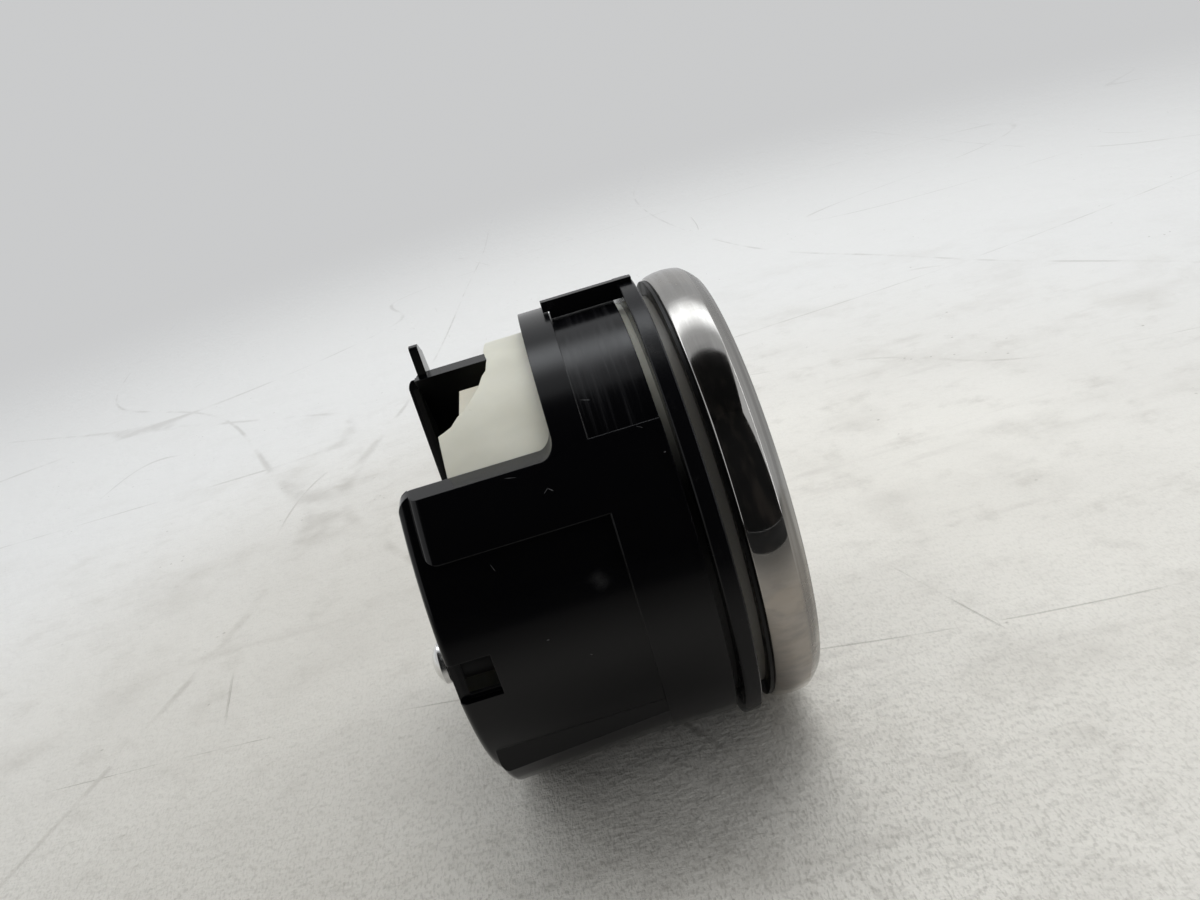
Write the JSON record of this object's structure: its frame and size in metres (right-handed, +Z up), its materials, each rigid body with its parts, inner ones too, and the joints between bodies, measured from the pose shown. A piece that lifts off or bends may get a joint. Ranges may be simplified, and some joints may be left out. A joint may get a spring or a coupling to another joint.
{
  "type": "motorcycle gauge",
  "caption": "Round motorcycle gauge with a chrome bezel, glass lens, motor-driven pointer and display, in a cream case with a black rear cover open for the harness.",
  "frame": {"origin": "on the floor under the middle of the gauge, which lies on its side on the mounting ring", "axes": "+X out of the dial's face along the gauge's axis, +Y to the rider's right, +Z up the dial"},
  "size_m": [0.0831, 0.114, 0.1151],
  "materials": {
    "chrome": "polished, mirror bright",
    "seal_rubber": "soft black rubber, matt",
    "gasket": "flat black gasket",
    "ring": "firm black rubber, matt with light dust",
    "glass": "clear, polished",
    "display_glass": "grey-green liquid crystal glass",
    "cream": "cream plastic, slightly milky",
    "black_gloss": "black plastic, satin to gloss, scuffed",
    "black_matte": "black plastic, fine matt grain",
    "dial": "matt black with white print",
    "screw": "bright plated steel",
    "screw_steel": "plain zinc-plated steel",
    "guide": "clear moulded plastic",
    "needle": "orange-red",
    "strip": "grey conductive rubber",
    "board": "green solder mask, satin",
    "led": "white",
    "can": "bare aluminium",
    "motor": "off-white plastic",
    "stator": "stamped laminations",
    "copper": "enamelled copper wire",
    "pin": "plated brass",
    "magnet": "sintered magnet",
    "gear": "white acetal"
  },
  "bodies": {
    "gauge": {"bezel": "chrome", "front_gasket": "gasket", "lens": "glass", "rear_gasket": "gasket", "bezel_seal": "seal_rubber", "mounting_ring": "ring", "inner_case": "cream", "rear_cover": "black_gloss", "cover_screws": "screw", "trim_ring": "black_matte", "dial_plate": "dial", "dial_screws": "screw_steel", "light_guide": "guide", "display_frame": "black_matte", "display_glass": "display_glass", "contact_strips": "strip", "circuit_board": "board", "board_screws": "screw_steel", "leds": "led", "board_chips": "black_matte", "capacitors": "can", "motor_case": "motor", "motor_cover": "motor", "stator": "stator", "coils": "copper", "motor_pins": "pin", "connector_header": "cream", "connector_pins": "pin"},
    "needle": {"output_gear": "gear", "pointer": "needle", "pointer_cap": "black_matte"},
    "idler": {"idler_gear": "gear"},
    "rotor": {"rotor": "magnet"}
  },
  "joints": [
    {"name": "pointer_sweep", "type": "hinge", "parent": "gauge", "child": "needle", "pos_m": [0.03001, 0, 0.057], "axis": [-1, 0, 0], "range_deg": [0, 270]},
    {"name": "idler_spin", "type": "hinge", "parent": "gauge", "child": "idler", "pos_m": [0.01201, -0.009, 0.04628], "axis": [-1, 0, 0], "range_deg": [-1620, 0]},
    {"name": "rotor_spin", "type": "hinge", "parent": "gauge", "child": "rotor", "pos_m": [0.01201, 0.00228, 0.04217], "axis": [-1, 0, 0], "range_deg": [0, 8100]}
  ],
  "couplings": [
    {"joint": "idler_spin", "follows": "pointer_sweep", "ratio": -6},
    {"joint": "rotor_spin", "follows": "pointer_sweep", "ratio": 30}
  ]
}
